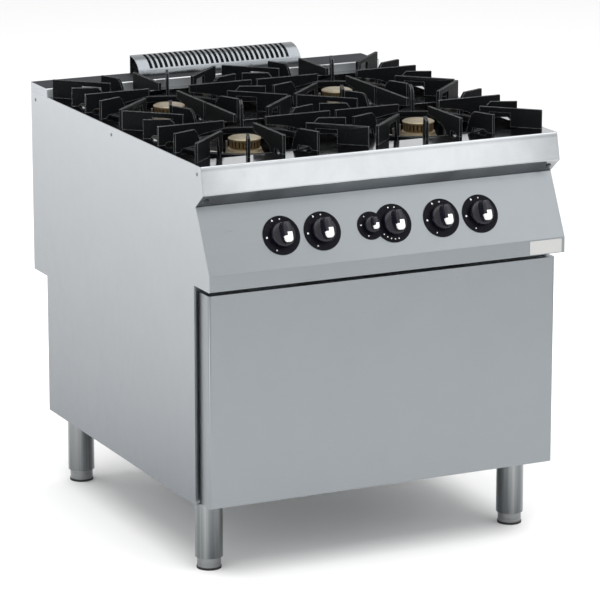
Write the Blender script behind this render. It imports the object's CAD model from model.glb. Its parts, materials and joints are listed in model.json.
"""The looks of the gas range: finishes, cast and moulded detail, studio and camera."""
import json
import math

import bmesh
import bpy
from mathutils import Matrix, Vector


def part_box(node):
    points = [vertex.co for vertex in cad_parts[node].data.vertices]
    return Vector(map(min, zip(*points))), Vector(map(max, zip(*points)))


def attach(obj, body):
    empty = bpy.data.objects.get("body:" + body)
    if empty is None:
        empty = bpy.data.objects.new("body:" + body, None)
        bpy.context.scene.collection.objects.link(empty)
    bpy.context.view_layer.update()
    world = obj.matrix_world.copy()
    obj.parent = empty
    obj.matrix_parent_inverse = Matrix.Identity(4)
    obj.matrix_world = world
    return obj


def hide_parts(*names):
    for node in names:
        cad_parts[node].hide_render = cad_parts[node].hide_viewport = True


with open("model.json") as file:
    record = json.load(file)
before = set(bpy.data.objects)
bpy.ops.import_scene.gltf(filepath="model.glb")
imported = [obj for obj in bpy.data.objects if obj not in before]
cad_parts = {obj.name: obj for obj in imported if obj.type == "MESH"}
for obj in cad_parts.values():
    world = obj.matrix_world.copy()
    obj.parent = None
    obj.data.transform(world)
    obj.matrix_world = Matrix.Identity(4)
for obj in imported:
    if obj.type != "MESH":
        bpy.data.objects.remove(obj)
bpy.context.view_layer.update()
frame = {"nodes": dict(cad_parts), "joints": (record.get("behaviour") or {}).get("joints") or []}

nodes = frame["nodes"]
joints = {joint["name"]: joint for joint in frame["joints"]}
collection = bpy.context.scene.collection
MM = 0.001
corners = ("front_left", "front_right", "rear_left", "rear_right")
controls = ("rear_left", "front_left", "selector", "thermostat", "front_right", "rear_right")


# ---------------------------------------------------------------- materials
SOCKETS = {
    "metallic": "Metallic",
    "roughness": "Roughness",
    "specular": "Specular IOR Level",
    "tint": "Specular Tint",
}


class Finish:
    """A procedural material, put together one node at a time around its shader."""

    def __init__(self, name, **settings):
        self.material = bpy.data.materials.new(name)
        self.material.use_nodes = True
        self.tree = self.material.node_tree
        self.shader = self.tree.nodes["Principled BSDF"]
        for word, value in settings.items():
            self.shader.inputs[SOCKETS[word]].default_value = value
        self.place = self.node("ShaderNodeTexCoord").outputs["Object"]

    def node(self, kind, inputs=(), **properties):
        """Add a node with its properties, and link or fill its inputs."""
        made = self.tree.nodes.new(kind)
        for word, value in properties.items():
            setattr(made, word, value)
        for key, value in dict(inputs).items():
            if isinstance(value, bpy.types.NodeSocket):
                self.tree.links.new(value, made.inputs[key])
            else:
                made.inputs[key].default_value = value
        return made

    def noise(self, scale, detail=3.0, roughness=0.5, distortion=0.0):
        """Noise from 0 to 1, with that many features per metre along X, Y and Z."""
        scaled = self.node("ShaderNodeMapping", {"Vector": self.place, "Scale": scale})
        return self.node(
            "ShaderNodeTexNoise",
            {"Vector": scaled.outputs[0], "Scale": 1.0, "Detail": detail,
             "Roughness": roughness, "Distortion": distortion},
        ).outputs[0]

    def across(self, axis, source, target):
        """A value that goes from one limit to another between two places along an axis."""
        parts = self.node("ShaderNodeSeparateXYZ", {"Vector": self.place})
        return self.spread(parts.outputs[axis], source, target)

    def spread(self, value, source, target):
        """The value carried from one pair of limits to another, and held inside them."""
        return self.node(
            "ShaderNodeMapRange",
            {"Value": value, "From Min": source[0], "From Max": source[1],
             "To Min": target[0], "To Max": target[1]},
        ).outputs[0]

    def combine(self, operation, first, second=0.0):
        """Arithmetic on two values, or on one where the operation needs no second."""
        return self.node("ShaderNodeMath", {0: first, 1: second}, operation=operation).outputs[0]

    def blend(self, share, first, second):
        """One colour going over to another as the share goes from 0 to 1."""
        made = self.node("ShaderNodeMix", {0: share}, data_type="RGBA")
        for key, colour in ((6, first), (7, second)):
            if isinstance(colour, bpy.types.NodeSocket):
                self.tree.links.new(colour, made.inputs[key])
            else:
                made.inputs[key].default_value = (*colour, 1)
        return made.outputs[2]

    def bump(self, height, depth, rounding=0.0):
        """Relief of that depth in metres, over edges rounded to that radius."""
        inputs = {"Height": height, "Distance": depth, "Strength": 1.0}
        if rounding:
            inputs["Normal"] = self.node("ShaderNodeBevel", {"Radius": rounding}, samples=4).outputs[0]
        return self.node("ShaderNodeBump", inputs).outputs[0]

    def edge(self, radius):
        """1 along sharp edges, 0 on the faces between them."""
        # cosines between the rounded and the flat normal: where an edge starts, and where it is full
        limits = (0.98, 0.8)
        rounded = self.node("ShaderNodeBevel", {"Radius": radius}, samples=4)
        flat = self.node("ShaderNodeNewGeometry").outputs["Normal"]
        along = self.node(
            "ShaderNodeVectorMath", {0: rounded.outputs[0], 1: flat}, operation="DOT_PRODUCT"
        ).outputs["Value"]
        return self.spread(along, limits, (0.0, 1.0))

    def surface(self, colour, roughness, normal):
        """Link the three things that every finish varies over its surface."""
        for socket, value in (("Base Color", colour), ("Roughness", roughness), ("Normal", normal)):
            self.tree.links.new(value, self.shader.inputs[socket])
        return self.material


# what a steel's colour is multiplied by where it is darkest, a little blue, and where it is palest
DARK_TONE = (0.475, 0.50, 0.53)
PALE_TONE = 1.5
BAKED_FILM = (0.05, 0.047, 0.045)


def steel(name, colour, rough, grain, streak=0.06, mottle=0.05, fades=(), burnt=None, **settings):
    """Rolled stainless sheet: streaks along its grain, slow clouds of handling, and grime that gathers.

    grain is the number of streaks per metre along X, Y and Z. streak and mottle say how strongly the
    streaks and the clouds show.
    Each fade is (axis, (two places), (two shares)): how far the colour moves from its middle between them.
    burnt is a function of the finish that says where a dark film has baked on, from 0 to 1.
    settings go to the shader, by the words in SOCKETS.
    """
    finish = Finish(name, metallic=1.0, **settings)
    streaks = finish.noise(grain, detail=4.0, roughness=0.65)
    clouds = finish.noise((7.0, 7.0, 7.0), detail=4.0, roughness=0.6, distortion=0.4)
    smears = finish.noise((38.0, 38.0, 26.0), detail=5.0, roughness=0.7)
    tone = finish.combine("ADD", finish.combine("MULTIPLY", streaks, streak),
                          finish.combine("MULTIPLY", clouds, mottle))
    middle = (streak + mottle) / 2
    share = finish.spread(tone, (middle - 0.5, middle + 0.5), (0.0, 1.0))
    for fade in fades:
        share = finish.combine("ADD", share, finish.across(*fade))
    dark = tuple(part * low for part, low in zip(colour, DARK_TONE))
    pale = tuple(part * PALE_TONE for part in colour)
    base = finish.blend(share, dark, pale)
    if burnt:
        base = finish.blend(burnt(finish), base, BAKED_FILM)
    wander = finish.combine("ADD", finish.combine("MULTIPLY", streaks, 0.5),
                            finish.combine("MULTIPLY", smears, 0.5))
    roughness = finish.spread(wander, (0.25, 0.75), (rough - 0.05, rough + 0.07))
    return finish.surface(base, roughness, finish.bump(streaks, 0.02 * MM, 0.8 * MM))


def well_film(finish):
    """The film baked on inside the wells, gone at their rims, and smoke stains under the fascia."""
    well_wall = (top_z - 34 * MM, top_z - 3 * MM)
    well_front = (-400 * MM, -370 * MM)
    under_fascia = (top_z - 57 * MM, top_z - 59 * MM)
    depth = finish.across("Z", well_wall, (1.0, 0.0))
    inside = finish.across("Y", well_front, (0.0, 1.0))
    patches = finish.noise((16.0, 16.0, 16.0), detail=4.0, roughness=0.6)
    thick = finish.spread(patches, (0.25, 0.6), (0.72, 1.0))
    film = finish.combine("MULTIPLY", finish.combine("MULTIPLY", depth, inside), thick)
    film = finish.combine("MULTIPLY", film, off_collars(finish))
    smoke = finish.spread(finish.noise((6.5, 1.0, 1.0), detail=2.0), (0.42, 0.58), (0.0, 0.6))
    under = finish.across("Z", under_fascia, (0.0, 1.0))
    return finish.combine("MAXIMUM", film, finish.combine("MULTIPLY", smoke, under))


def off_collars(finish):
    """Low on the wiped collar round each burner, 1 elsewhere."""
    rim = (63.5 * MM, 65 * MM)  # from the burner's middle
    parts = finish.node("ShaderNodeSeparateXYZ", {"Vector": finish.place})
    across = finish.combine("SUBTRACT", finish.combine("ABSOLUTE", parts.outputs["X"]), rear_burner.x)
    middle_y = (front_burner.y + rear_burner.y) / 2
    along = finish.combine("ABSOLUTE", finish.combine("SUBTRACT", parts.outputs["Y"], middle_y))
    along = finish.combine("SUBTRACT", along, rear_burner.y - middle_y)
    square = finish.combine("ADD", finish.combine("MULTIPLY", across, across),
                            finish.combine("MULTIPLY", along, along))
    distance = finish.combine("SQRT", square)
    return finish.spread(distance, rim, (0.25, 1.0))


def cast(name, colour, worn, rough, speckle, relief, wear=0.75):
    """Sand-cast metal: a grainy skin, pale specks, and edges worn paler."""
    finish = Finish(name, specular=0.05)
    worn_width = 1.1 * MM
    skin = finish.noise((420.0, 420.0, 420.0), detail=5.0, roughness=0.7)
    specks = finish.noise((1100.0, 1100.0, 1100.0), detail=2.0, roughness=0.6)
    patches = finish.noise((60.0, 60.0, 60.0), detail=4.0, roughness=0.6)
    dotted = finish.spread(specks, (0.56, 0.74), (0.0, speckle))
    worn_share = finish.combine("MULTIPLY", finish.edge(worn_width),
                                finish.spread(patches, (0.3, 0.7), (0.3 * wear, wear)))
    colours = finish.blend(worn_share, finish.blend(dotted, colour, worn), worn)
    roughness = finish.spread(skin, (0.3, 0.7), (rough - 0.08, rough + 0.12))
    return finish.surface(colours, roughness, finish.bump(skin, relief * MM))


def dull_metal(name, colour, dark, rough, scale=90.0, relief=0.05, rounding=0.4 * MM):
    """Plated, pickled or burnt metal: uneven colour over a fine grain."""
    finish = Finish(name, metallic=1.0)
    clouds = finish.noise((scale, scale, scale), detail=5.0, roughness=0.65, distortion=0.3)
    grain = finish.noise((900.0, 900.0, 900.0), detail=3.0)
    colours = finish.blend(finish.spread(clouds, (0.32, 0.68), (0.0, 1.0)), dark, colour)
    roughness = finish.spread(clouds, (0.3, 0.7), (rough + 0.1, rough - 0.06))
    return finish.surface(colours, roughness, finish.bump(grain, relief * MM, rounding))


def moulded(name, colour, rough, dust=0.06, relief=0.02, **settings):
    """Moulded plastic or paint: a fine orange-peel skin with faint dust."""
    finish = Finish(name, **settings)
    skin = finish.noise((700.0, 700.0, 700.0), detail=2.0)
    film = finish.noise((85.0, 85.0, 85.0), detail=5.0, roughness=0.7)
    dusty = tuple(part + dust * (1 - part) for part in colour)
    colours = finish.blend(finish.spread(film, (0.35, 0.75), (0.0, 1.0)), colour, dusty)
    roughness = finish.spread(film, (0.3, 0.7), (rough - 0.04, rough + 0.08))
    return finish.surface(colours, roughness, finish.bump(skin, relief * MM, 0.5 * MM))


def fibrous(name, colour, dark, scale, relief):
    """Matted fibre: crossing strands with deep gaps between them."""
    finish = Finish(name)
    strands = finish.noise((scale, scale * 0.2, scale), detail=6.0, roughness=0.8, distortion=1.2)
    colours = finish.blend(finish.spread(strands, (0.35, 0.65), (0.0, 1.0)), dark, colour)
    roughness = finish.spread(strands, (0.0, 1.0), (1.0, 0.85))
    return finish.surface(colours, roughness, finish.bump(strands, relief * MM))


def burner_brass(name):
    """Heat-stained brass: a pale cap and foot, and a darker speckled band round the ports."""
    finish = Finish(name, metallic=0.75)
    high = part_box("burner_crown_front_left")[1].z
    band_foot = (high - 24 * MM, high - 21 * MM)
    band_head = (high - 7 * MM, high - 5.5 * MM)
    grit = finish.noise((520.0, 520.0, 520.0), detail=5.0, roughness=0.8)
    stain = finish.noise((70.0, 70.0, 70.0), detail=4.0, roughness=0.6)
    pale = finish.blend(finish.spread(stain, (0.3, 0.7), (0.0, 1.0)),
                        (0.17, 0.14, 0.088), (0.29, 0.245, 0.165))
    dark = finish.blend(finish.spread(grit, (0.35, 0.65), (0.0, 1.0)),
                        (0.03, 0.018, 0.008), (0.30, 0.20, 0.09))
    band = finish.combine("MULTIPLY", finish.across("Z", band_foot, (0.0, 1.0)),
                          finish.across("Z", band_head, (1.0, 0.0)))
    roughness = finish.spread(grit, (0.3, 0.7), (0.32, 0.52))
    return finish.surface(finish.blend(band, pale, dark), roughness, finish.bump(grit, 0.3 * MM, 0.6 * MM))


def foot_finish(name):
    """A satin sleeve standing on a black rubber pad."""
    finish = Finish(name, metallic=1.0)
    pad_top = 4.6 * MM
    seam = (pad_top, pad_top + 0.2 * MM)
    turned = finish.noise((8.0, 8.0, 900.0), detail=3.0)
    metal = finish.blend(turned, (0.15, 0.157, 0.16), (0.30, 0.31, 0.315))
    rubber = finish.across("Z", seam, (1.0, 0.0))
    sleeve = finish.across("Z", seam, (0.0, 1.0))
    finish.tree.links.new(sleeve, finish.shader.inputs["Metallic"])
    colours = finish.blend(rubber, metal, (0.012, 0.012, 0.012))
    roughness = finish.combine("MAXIMUM", finish.spread(turned, (0.3, 0.7), (0.24, 0.36)),
                               finish.combine("MULTIPLY", rubber, 0.8))
    return finish.surface(colours, roughness, finish.bump(turned, 0.03 * MM, 0.5 * MM))


top_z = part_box("side_panel_left")[1].z
panel_low_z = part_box("side_panel_left")[0].z
strip_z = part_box("flue_strip")[1].z
front_burner, rear_burner = (
    sum(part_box(f"burner_crown_{name}"), Vector()) / 2 for name in ("front_right", "rear_right")
)
# streaks per metre along X, Y and Z, for sheet rolled along X or along Y
GRAIN_X = (4.0, 420.0, 420.0)
GRAIN_Y = (420.0, 4.0, 420.0)
SATIN = (0.248, 0.262, 0.271)
# how the worktop's tone moves with depth: (two depths in mm below the top, two shares)
top_fades = [("Z", (top_z - low * MM, top_z - high * MM), shares) for low, high, shares in (
    (84, 56, (-0.5, 0.0)),  # dark in the undercut
    (1, 0.4, (0.0, -0.3)),  # darker on the flat, which faces the lamp
    (5, 3.5, (-0.2, 0.0)),  # this row and the next: a dark line under the rolled edge
    (11, 7, (0.2, 0.0)),
)]
finishes = {
    "stainless_satin": steel("satin_sheet", SATIN, 0.30, GRAIN_X),
    "stainless_bright": steel("bright_sheet", (0.40, 0.41, 0.415), 0.10, GRAIN_X, streak=0.05, mottle=0.3,
                              fades=top_fades, burnt=well_film),
    "stainless_dull": steel("mill_sheet", (0.245, 0.257, 0.265), 0.38, GRAIN_X),
    "oven_steel": dull_metal("oven_sheet", (0.26, 0.26, 0.27), (0.17, 0.17, 0.18), 0.42),
    "pipe_steel": dull_metal("pipe_steel", (0.36, 0.36, 0.36), (0.22, 0.22, 0.23), 0.4),
    "brass_fitting": dull_metal("brass_fitting", (0.72, 0.52, 0.24), (0.5, 0.34, 0.14), 0.3),
    "shelf_wire": dull_metal("chromed_wire", (0.62, 0.62, 0.63), (0.48, 0.48, 0.5), 0.18),
    "pin_steel": dull_metal("pin_steel", (0.5, 0.5, 0.51), (0.36, 0.36, 0.37), 0.28),
    "badge_white": moulded("badge_white", (0.80, 0.80, 0.78), 0.35, dust=-0.04),
    "floor_iron": cast("floor_plate_iron", (0.035, 0.035, 0.036), (0.12, 0.12, 0.12), 0.6, 0.3, 0.4),
    "mineral_wool": fibrous("mineral_wool", (0.52, 0.46, 0.30), (0.2, 0.17, 0.1), 160.0, 3.0),
    "seal_fibre": fibrous("seal_fibre", (0.30, 0.29, 0.27), (0.08, 0.08, 0.08), 500.0, 1.0),
    "cup_casting": dull_metal("cup_casting", (0.36, 0.35, 0.33), (0.16, 0.15, 0.14), 0.5, relief=0.3),
    "pilot_steel": dull_metal("pilot_steel", (0.6, 0.58, 0.55), (0.35, 0.32, 0.3), 0.3),
    "bezel_black": moulded("bezel_black", (0.003, 0.003, 0.006), 0.28, dust=0.003, specular=0.07),
    "knob_black": moulded("knob_black", (0.005, 0.005, 0.010), 0.24, dust=0.004, specular=0.36),
    "support_iron": cast("support_iron", (0.0025, 0.003, 0.0038), (0.60, 0.62, 0.64), 0.50, 0.05, 0.5),
    "crown_brass": burner_brass("crown_brass"),
    "foot_steel": foot_finish("foot_steel"),
}
# parts that look different from the rest of their slot: another grain, tone or sheen, or a dark film
variants = {
    ("side_panel_left", "side_panel_right"): steel(
        "side_sheet", (0.335, 0.348, 0.357), 0.33, GRAIN_Y,
        fades=[("Z", (panel_low_z, top_z), (-0.42, 0.18))]),
    ("flue_strip",): steel(
        "strip_sheet", (0.55, 0.56, 0.565), 0.5, GRAIN_X, tint=(0.35, 0.38, 0.42, 1),
        burnt=lambda finish: finish.across("Z", (strip_z - 0.6 * MM, strip_z - 0.1 * MM), (0.0, 0.93))),
    ("flue_grille",): steel("hood_sheet", (0.20, 0.212, 0.222), 0.26, GRAIN_X, mottle=0.5),
    ("panel_screws",): dull_metal("screw_steel", (0.16, 0.165, 0.17), (0.06, 0.06, 0.065), 0.3),
    ("badge_plate",): moulded("plate_enamel", (0.44, 0.44, 0.43), 0.35, dust=-0.03),
    ("leg_tubes",): steel(
        "leg_sheet", (0.20, 0.21, 0.212), 0.2, (36.0, 36.0, 0.6), streak=3.0, mottle=0.1,
        fades=[("Z", (20 * MM, panel_low_z), (-0.15, 0.12))]),
}
for part in nodes.values():
    slot_name = part.data.materials[0].name.split(".")[0]
    part.material_slots[0].material = finishes[slot_name]
for names, material in variants.items():
    for name in names:
        nodes[name].material_slots[0].material = material


# ---------------------------------------------------------------- pieces
def soften(part, radius, steps=2):
    """Round the sharp edges of a CAD node with modifiers, which leave its mesh as it is."""
    weld = part.modifiers.new("weld", "WELD")
    weld.merge_threshold = 0.01 * MM
    bevel = part.modifiers.new("bevel", "BEVEL")
    bevel.width = radius
    bevel.segments = steps
    bevel.limit_method = "ANGLE"
    bevel.angle_limit = math.radians(40)
    bevel.use_clamp_overlap = True
    bevel.harden_normals = True


def piece(name, mesh, body, slot_name, smooth=40):
    """A finished mesh as an object that rides on a body and takes its finish from a slot."""
    bmesh.ops.recalc_face_normals(mesh, faces=mesh.faces)
    data = bpy.data.meshes.new(name)
    mesh.to_mesh(data)
    mesh.free()
    data.materials.append(finishes[slot_name])
    data.shade_smooth()
    data.set_sharp_from_angle(angle=math.radians(smooth))
    made = bpy.data.objects.new(name, data)
    collection.objects.link(made)
    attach(made, body)
    return made


def skin_rings(mesh, rings):
    """Join rings of points, from first to last, into a closed skin."""
    loops = [[mesh.verts.new(point) for point in ring] for ring in rings]
    for lower, upper in zip(loops, loops[1:]):
        for index in range(len(lower)):
            after = (index + 1) % len(lower)
            mesh.faces.new((lower[index], lower[after], upper[after], upper[index]))
    mesh.faces.new(list(reversed(loops[0])))
    mesh.faces.new(loops[-1])


JOINT_HEIGHT = 20 * MM  # from the sloping panel out to the joint of each knob
BEZEL_FACE = 2.5 * MM  # from the sloping panel out to the face of each bezel
SMALL_BEZEL = 29 * MM
LARGE_BEZEL = 40 * MM


class Control:
    """The place of one control on the sloping panel: u to the right, v up the slope, w out of it."""

    def __init__(self, name):
        joint = joints[f"knob_turn_{name}"]
        self.out = Vector(joint["axis"])
        self.up = Vector((1, 0, 0)).cross(self.out) * -1
        self.middle = Vector(joint["pos_m"]) - self.out * JOINT_HEIGHT
        self.radius = (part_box(f"knob_{name}")[1].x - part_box(f"knob_{name}")[0].x) / 2
        heights = [(Vector(vertex.co) - self.middle).dot(self.out)
                   for vertex in nodes[f"knob_{name}"].data.vertices]
        self.low, self.top = min(heights), max(heights)

    def at(self, u, v, w):
        """The point of the frame at that place of the control."""
        return self.middle + Vector((1, 0, 0)) * u + self.up * v + self.out * w


def squircle(turn, length, width, square):
    """A point (u, v) on a rounded rectangle with those half sizes."""
    across, along = math.cos(turn), math.sin(turn)
    return (width * math.copysign(abs(across) ** (2 / square), across),
            length * math.copysign(abs(along) ** (2 / square), along))


def bar_levels(place):
    """The finger bar of a knob, as levels of (height, half length, half width, squareness)."""
    radius, top = place.radius, place.top
    return [
        (place.low + 10.5 * MM, radius - 4.2 * MM, radius * 0.37, 4.4),
        (top - 7.0 * MM, radius - 4.8 * MM, radius * 0.35, 4.4),
        (top - 2.2 * MM, radius - 5.4 * MM, radius * 0.33, 4.4),
        (top - 0.7 * MM, radius - 6.2 * MM, radius * 0.28, 4.2),
        (top, radius - 7.8 * MM, radius * 0.18, 4.0),
    ]


def knob(name):
    """A dial knob: a rounded skirt that runs up into a finger bar."""
    place = Control(name)
    radius, low = place.radius, place.low
    shoulder = low + 7 * MM
    # each level is (height, half length, half width, squareness)
    levels = [
        (low, radius - 0.6 * MM, radius - 0.6 * MM, 2.0),
        (low + 0.6 * MM, radius, radius, 2.0),
        (shoulder - 2.4 * MM, radius - 0.5 * MM, radius - 0.5 * MM, 2.0),
        (shoulder - 0.8 * MM, radius - 1.1 * MM, radius - 1.1 * MM, 2.0),
        (shoulder, radius - 2.4 * MM, radius - 2.4 * MM, 2.0),
        (shoulder + 0.3 * MM, radius - 3.4 * MM, radius * 0.55, 2.4),
        (shoulder + 1.2 * MM, radius - 3.9 * MM, radius * 0.42, 2.8),
        *bar_levels(place),
    ]
    count = 72
    mesh = bmesh.new()
    skin_rings(mesh, [
        [place.at(*squircle(2 * math.pi * index / count, length, width, square), height)
         for index in range(count)]
        for height, length, width, square in levels
    ])
    made = piece(f"knob_body_{name}", mesh, f"knob_{name}", "knob_black")
    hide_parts(f"knob_{name}")
    return place


def pointer(name, place):
    """The white insert that caps the lower end of a knob's bar, with a step in its upper edge."""
    radius = place.radius
    proud = 0.3 * MM
    short, long, step_u = 0.34 * radius, 0.06 * radius, -0.10 * radius
    count = 24
    rings = []
    for height, length, width, square in bar_levels(place)[1:]:
        length, width = length + proud, width + proud
        first = math.pi + math.asin((short / length) ** (square / 2))
        last = 2 * math.pi - math.asin((long / length) ** (square / 2))
        outline = [squircle(first + (last - first) * index / count, length, width, square)
                   for index in range(count + 1)]
        outline += [(step_u, -long), (step_u, -short)]
        rings.append([place.at(u, v, height + proud) for u, v in outline])
    mesh = bmesh.new()
    skin_rings(mesh, rings)
    piece(f"knob_insert_{name}", mesh, f"knob_{name}", "badge_white", smooth=30)


def flat_mark(mesh, place, outline):
    """A low printed mark standing on the bezel, from an outline of (u, v) points."""
    proud, sunk = 0.12 * MM, 0.05 * MM
    skin_rings(mesh, [[place.at(u, v, BEZEL_FACE - sunk) for u, v in outline],
                      [place.at(u, v, BEZEL_FACE + proud) for u, v in outline]])


def round_spot(angle, reach, radius, sides=20):
    """A dot at that clock angle, in degrees counter-clockwise from the right."""
    turn = math.radians(angle)
    middle = (reach * math.cos(turn), reach * math.sin(turn))
    return [(middle[0] + radius * math.cos(2 * math.pi * k / sides),
             middle[1] + radius * math.sin(2 * math.pi * k / sides)) for k in range(sides)]


def wedge(angle, reach, length, width):
    """A drop or triangle that points outwards."""
    turn = math.radians(angle)
    out, side = Vector((math.cos(turn), math.sin(turn))), Vector((-math.sin(turn), math.cos(turn)))
    middle = out * reach
    points = [middle + out * length, middle - side * width, middle - out * 0.15 * length,
              middle + side * width]
    return [(point.x, point.y) for point in points]


def dial_marks(name, place, bezel_radius):
    """The printed marks round a control."""
    mesh = bmesh.new()
    reach = bezel_radius - 7.0 * MM
    if name == "thermostat":
        marks = [round_spot(88 + side * 12, reach, 1.5 * MM) for side in (-1, 1)]
        marks += [round_spot(250 + side * 15, reach, 1.3 * MM) for side in (-2, -1, 0, 1, 2)]
    elif name == "selector":
        marks = [wedge(122, reach, 4.0 * MM, 0.8 * MM), round_spot(174, reach, 1.5 * MM),
                 wedge(246, reach, 3.4 * MM, 1.7 * MM)]
    else:
        marks = [round_spot(87, reach, 1.4 * MM), wedge(116, reach, 4.4 * MM, 2.2 * MM),
                 round_spot(184, reach, 2.0 * MM), wedge(241, reach, 3.2 * MM, 1.5 * MM)]
    for outline in marks:
        flat_mark(mesh, place, outline)
    piece(f"dial_marks_{name}", mesh, "cabinet", "badge_white")


def round_wire(name, routes, radius, body, slot_name, sides=8):
    """Drawn wire as closed tubes along straight or bent routes of points."""
    mesh = bmesh.new()
    for route in routes:
        rings = []
        for index, point in enumerate(route):
            before = Vector(route[max(index - 1, 0)])
            after = Vector(route[min(index + 1, len(route) - 1)])
            run = (after - before).normalized()
            upright = abs(run.z) > 0.9
            side = (run.orthogonal() if upright else run.cross(Vector((0, 0, 1)))).normalized()
            lift = side.cross(run)
            rings.append([Vector(point) + (side * math.cos(2 * math.pi * k / sides)
                                           + lift * math.sin(2 * math.pi * k / sides)) * radius
                          for k in range(sides)])
        skin_rings(mesh, rings)
    return piece(name, mesh, body, slot_name, smooth=60)


def oven_shelf():
    """The wire shelf: a stout frame, two cross wires and thinner rods that carry the trays."""
    low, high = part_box("oven_shelf")
    radius = 3.0 * MM
    rod_radius = 2.0 * MM
    x_ends = (low.x + radius, high.x - radius)
    y_ends = (low.y + radius, high.y - radius)
    level = low.z + radius
    rod_level = level + radius + rod_radius / 2  # sunk into the frame, to which they are welded
    bend = 14 * MM
    bend_steps = 6
    overlap = 0.1 * MM
    frame_route = []
    for corner_x, corner_y, start in ((x_ends[1], y_ends[1], 0), (x_ends[0], y_ends[1], 90),
                                      (x_ends[0], y_ends[0], 180), (x_ends[1], y_ends[0], 270)):
        inward = Vector((-1 if corner_x > 0 else 1, -1 if corner_y > (y_ends[0] + y_ends[1]) / 2 else 1, 0))
        middle = Vector((corner_x, corner_y, level)) + inward * bend
        for step in range(bend_steps + 1):
            turn = math.radians(start + 90 * step / bend_steps)
            frame_route.append(middle + Vector((math.cos(turn), math.sin(turn), 0)) * bend)
    # the last point passes the first, so the two ends of the frame meet
    frame_route.append(frame_route[0] + (frame_route[0] - frame_route[-1]).normalized() * overlap)
    cross = [[(x_ends[0], y, level), (x_ends[1], y, level)]
             for y in (y_ends[0] + (y_ends[1] - y_ends[0]) * share for share in (0.33, 0.67))]
    bars = 19
    rods = []
    for index in range(bars):
        x = x_ends[0] + (x_ends[1] - x_ends[0]) * (index + 1) / (bars + 1)
        rods.append([(x, y_ends[0], rod_level), (x, y_ends[1], rod_level)])
    shelf = round_wire("wire_shelf_frame", [frame_route, *cross], radius, "cabinet", "shelf_wire", sides=12)
    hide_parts("oven_shelf")
    round_wire("wire_shelf_rods", rods, rod_radius, "cabinet", "shelf_wire")


def pilot_tubes():
    """The bright capillaries that lead to each pilot and thermocouple along the floor of the well."""
    radius = 1.2 * MM
    spigot = 5.0 * MM  # how far each crown reaches below the floor of its well
    near = 52.0  # mm from the burner's middle
    clear = 0.1 * MM
    arch = 1.5 * MM
    steps = 12
    # each tube: (clock angle where it starts, mm from the middle where it ends, degrees it sweeps)
    tubes = ((157.5, 128.0, 14.0), (112.5, 118.0, 30.0))
    for name in corners:
        crown_low, crown_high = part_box(f"burner_crown_{name}")
        middle = (crown_low + crown_high) / 2
        floor_z = crown_low.z + spigot + radius + clear
        routes = []
        for clock, far, sweep in tubes:
            route = []
            for step in range(steps + 1):
                share = step / steps
                turn = math.radians(clock + sweep * share ** 2)
                reach = (near + (far - near) * share) * MM
                lift = arch * math.sin(math.pi * share)
                route.append((middle.x + reach * math.cos(turn), middle.y + reach * math.sin(turn),
                              floor_z + lift))
            routes.append(route)
        round_wire(f"pilot_tube_{name}", routes, radius, "cabinet", "pilot_steel")


for name in controls:
    place = knob(name)
    pointer(name, place)
    dial_marks(name, place, SMALL_BEZEL if name == "selector" else LARGE_BEZEL)
oven_shelf()
pilot_tubes()
for name in corners:
    soften(nodes[f"pan_support_{name}"], 0.9 * MM)
for name in ("door_skin", "leg_tubes"):
    soften(nodes[name], 0.7 * MM)
for name in ("flue_strip", "badge_plate"):
    soften(nodes[name], 0.35 * MM)
soften(nodes["knob_bezels"], 0.7 * MM)


# ---------------------------------------------------------------- studio
def softbox(name, place, target, size, power):
    """A rectangular studio light that points at a place."""
    data = bpy.data.lights.new(name, "AREA")
    data.shape = "RECTANGLE"
    data.size, data.size_y = size
    data.energy = power
    light = bpy.data.objects.new(name, data)
    light.location = place
    light.rotation_euler = (Vector(target) - Vector(place)).to_track_quat("-Z", "Y").to_euler()
    light.visible_camera = False
    collection.objects.link(light)


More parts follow.
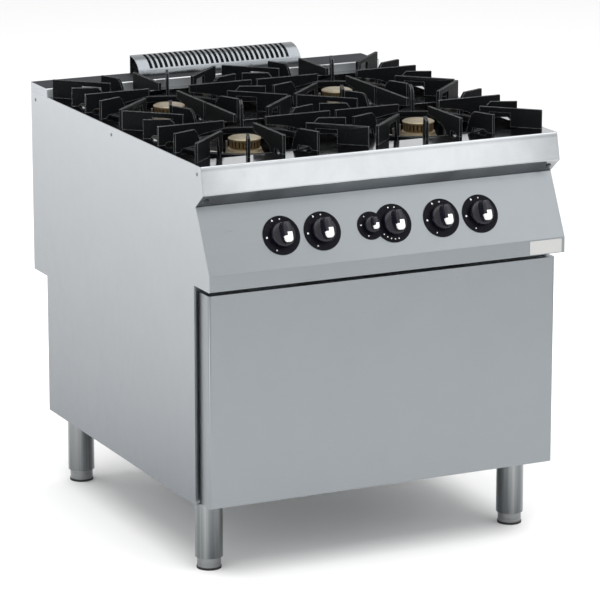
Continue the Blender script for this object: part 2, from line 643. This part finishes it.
def studio():
    """A pale floor under a room that is brightest near the horizon."""
    surface = bmesh.new()
    bmesh.ops.create_grid(surface, x_segments=8, y_segments=8, size=30.0)
    mesh = bpy.data.meshes.new("studio_floor")
    surface.to_mesh(mesh)
    surface.free()
    floor = bpy.data.objects.new("studio_floor", mesh)
    collection.objects.link(floor)
    paint = Finish("studio_floor", specular=0.1)
    grain = paint.noise((0.4, 0.4, 0.4))
    paint.surface(paint.blend(grain, (0.92, 0.92, 0.92), (0.945, 0.945, 0.945)),
                  paint.spread(grain, (0.0, 1.0), (0.85, 0.95)), paint.bump(grain, 0.01 * MM))
    mesh.materials.append(paint.material)

    world = bpy.data.worlds.new("studio")
    world.use_nodes = True
    tree = world.node_tree
    direction = tree.nodes.new("ShaderNodeTexCoord")
    parts = tree.nodes.new("ShaderNodeSeparateXYZ")
    ramp = tree.nodes.new("ShaderNodeValToRGB")
    back = tree.nodes["Background"]
    tree.links.new(direction.outputs["Generated"], parts.inputs[0])
    tree.links.new(parts.outputs["Z"], ramp.inputs[0])
    tree.links.new(ramp.outputs[0], back.inputs["Color"])
    # each step: (height in the sky, brightness); a ramp starts with two stops
    levels = ((0.0, 0.85), (0.12, 0.95), (0.3, 0.8), (0.55, 0.85), (1.0, 0.5))
    stops = ramp.color_ramp.elements
    for index, (height, level) in enumerate(levels):
        stop = stops[index] if index < 2 else stops.new(height)
        stop.position = height
        stop.color = (level, level, level, 1)
    back.inputs["Strength"].default_value = 1.25
    bpy.context.scene.world = world
    softbox("overhead", (0, -0.6, 4.5), (0, 0, 0), (6.0, 6.0), 250)
    softbox("front_fill", (1.8, -4.0, 1.5), (0, -0.4, 0.8), (1.0, 1.2), 3.4)
    softbox("left_back", (-2.6, 3.6, 0.9), (-0.4, 0.2, 0.6), (1.6, 1.4), 13)
    softbox("left_low", (-3.2, -1.9, 0.45), (0.1, -0.1, 0.86), (2.0, 1.0), 16)
    softbox("panel_fill", (2.0, -2.7, 2.4), (0.2, -0.4, 0.7), (1.4, 1.0), 5)


def camera():
    """A long lens from the front left, a little above the top."""
    eye = (-3.179, -6.6185, 2.300)
    sight = Vector((0.4218, 0.8729, -0.2450))
    data = bpy.data.cameras.new("camera")
    data.sensor_width = 36.0
    data.lens = 213.9
    made = bpy.data.objects.new("camera", data)
    made.location = eye
    made.rotation_euler = sight.to_track_quat("-Z", "Y").to_euler()
    collection.objects.link(made)
    bpy.context.scene.camera = made


studio()
camera()
bpy.context.scene.view_settings.view_transform = "Standard"
